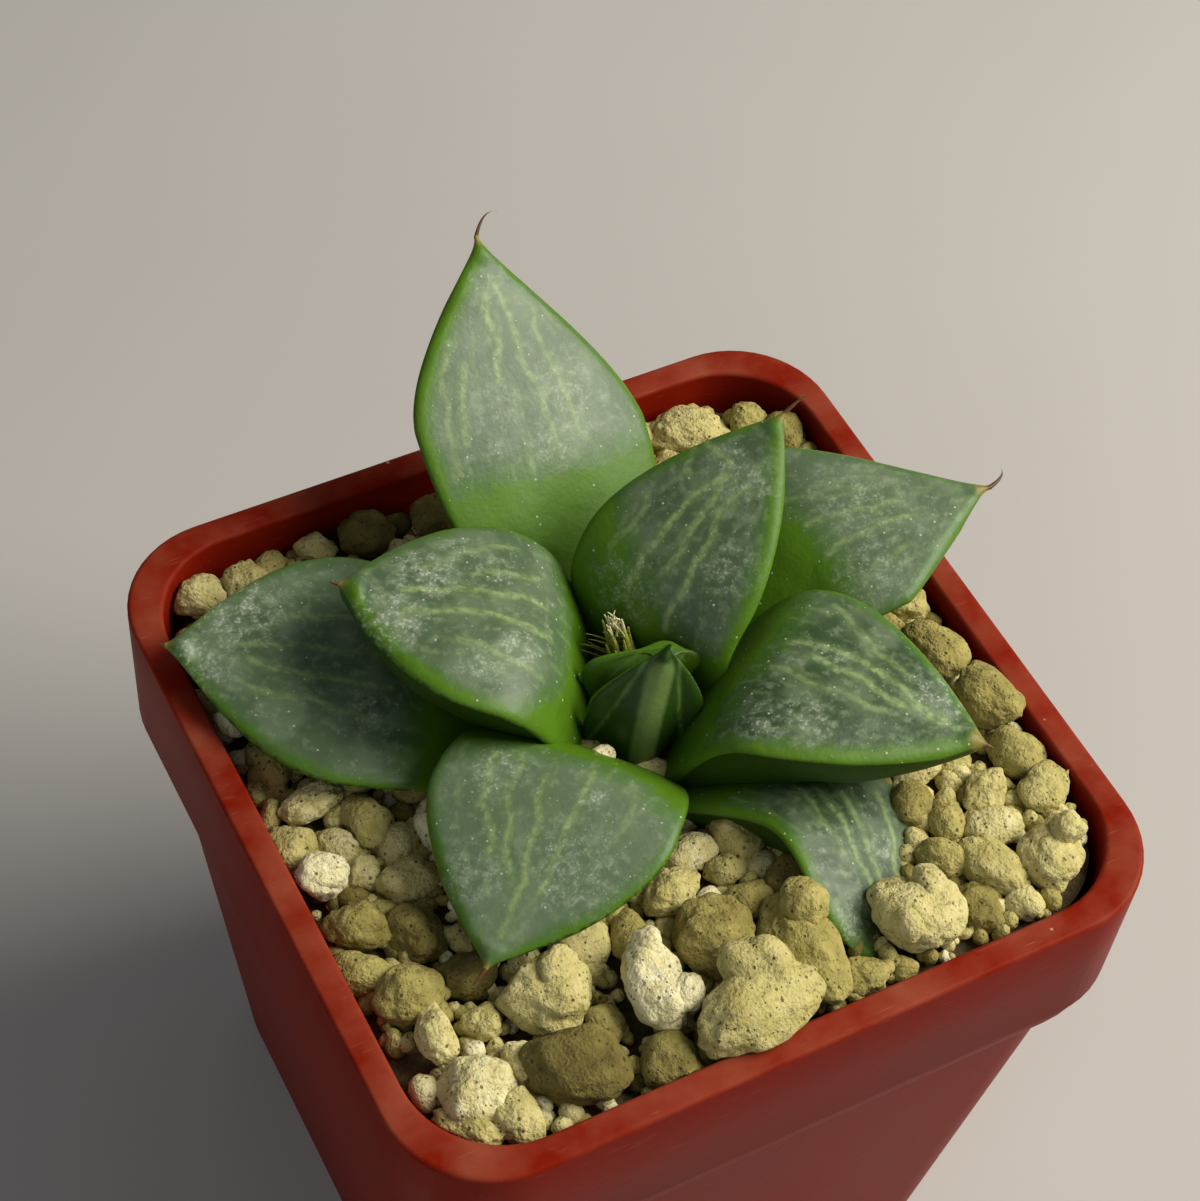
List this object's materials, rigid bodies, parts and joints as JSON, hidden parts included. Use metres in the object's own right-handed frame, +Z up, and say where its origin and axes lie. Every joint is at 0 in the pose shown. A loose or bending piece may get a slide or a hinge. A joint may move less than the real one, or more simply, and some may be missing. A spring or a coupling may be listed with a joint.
{
  "type": "potted haworthia",
  "caption": "Small rosette succulent with flat, windowed leaves and bristle tips, in a square tapered plastic pot filled with pumice grit.",
  "frame": {"origin": "centre of the pot's base, on the surface it stands on", "axes": "+Z up, X and Y along the pot's sides, the camera of the picture on the -X -Y side"},
  "size_m": [0.0756, 0.0755, 0.0901],
  "materials": {
    "pot_plastic": "satin brick-red moulded plastic",
    "pumice_grit": "porous khaki pumice grains",
    "stem": "fleshy green stem",
    "leaf": "waxy green leaf with a translucent striped window",
    "dry_stalk": "dried fibrous stalk"
  },
  "bodies": {
    "root": {"pot": "pot_plastic", "substrate": "pumice_grit", "stem": "stem", "leaf_1": "leaf", "leaf_2": "leaf", "leaf_3": "leaf", "leaf_4": "leaf", "leaf_5": "leaf", "leaf_6": "leaf", "leaf_7": "leaf", "leaf_8": "leaf", "leaf_9": "leaf", "leaf_10": "leaf", "flower_stalk": "dry_stalk"}
  },
  "joints": []
}
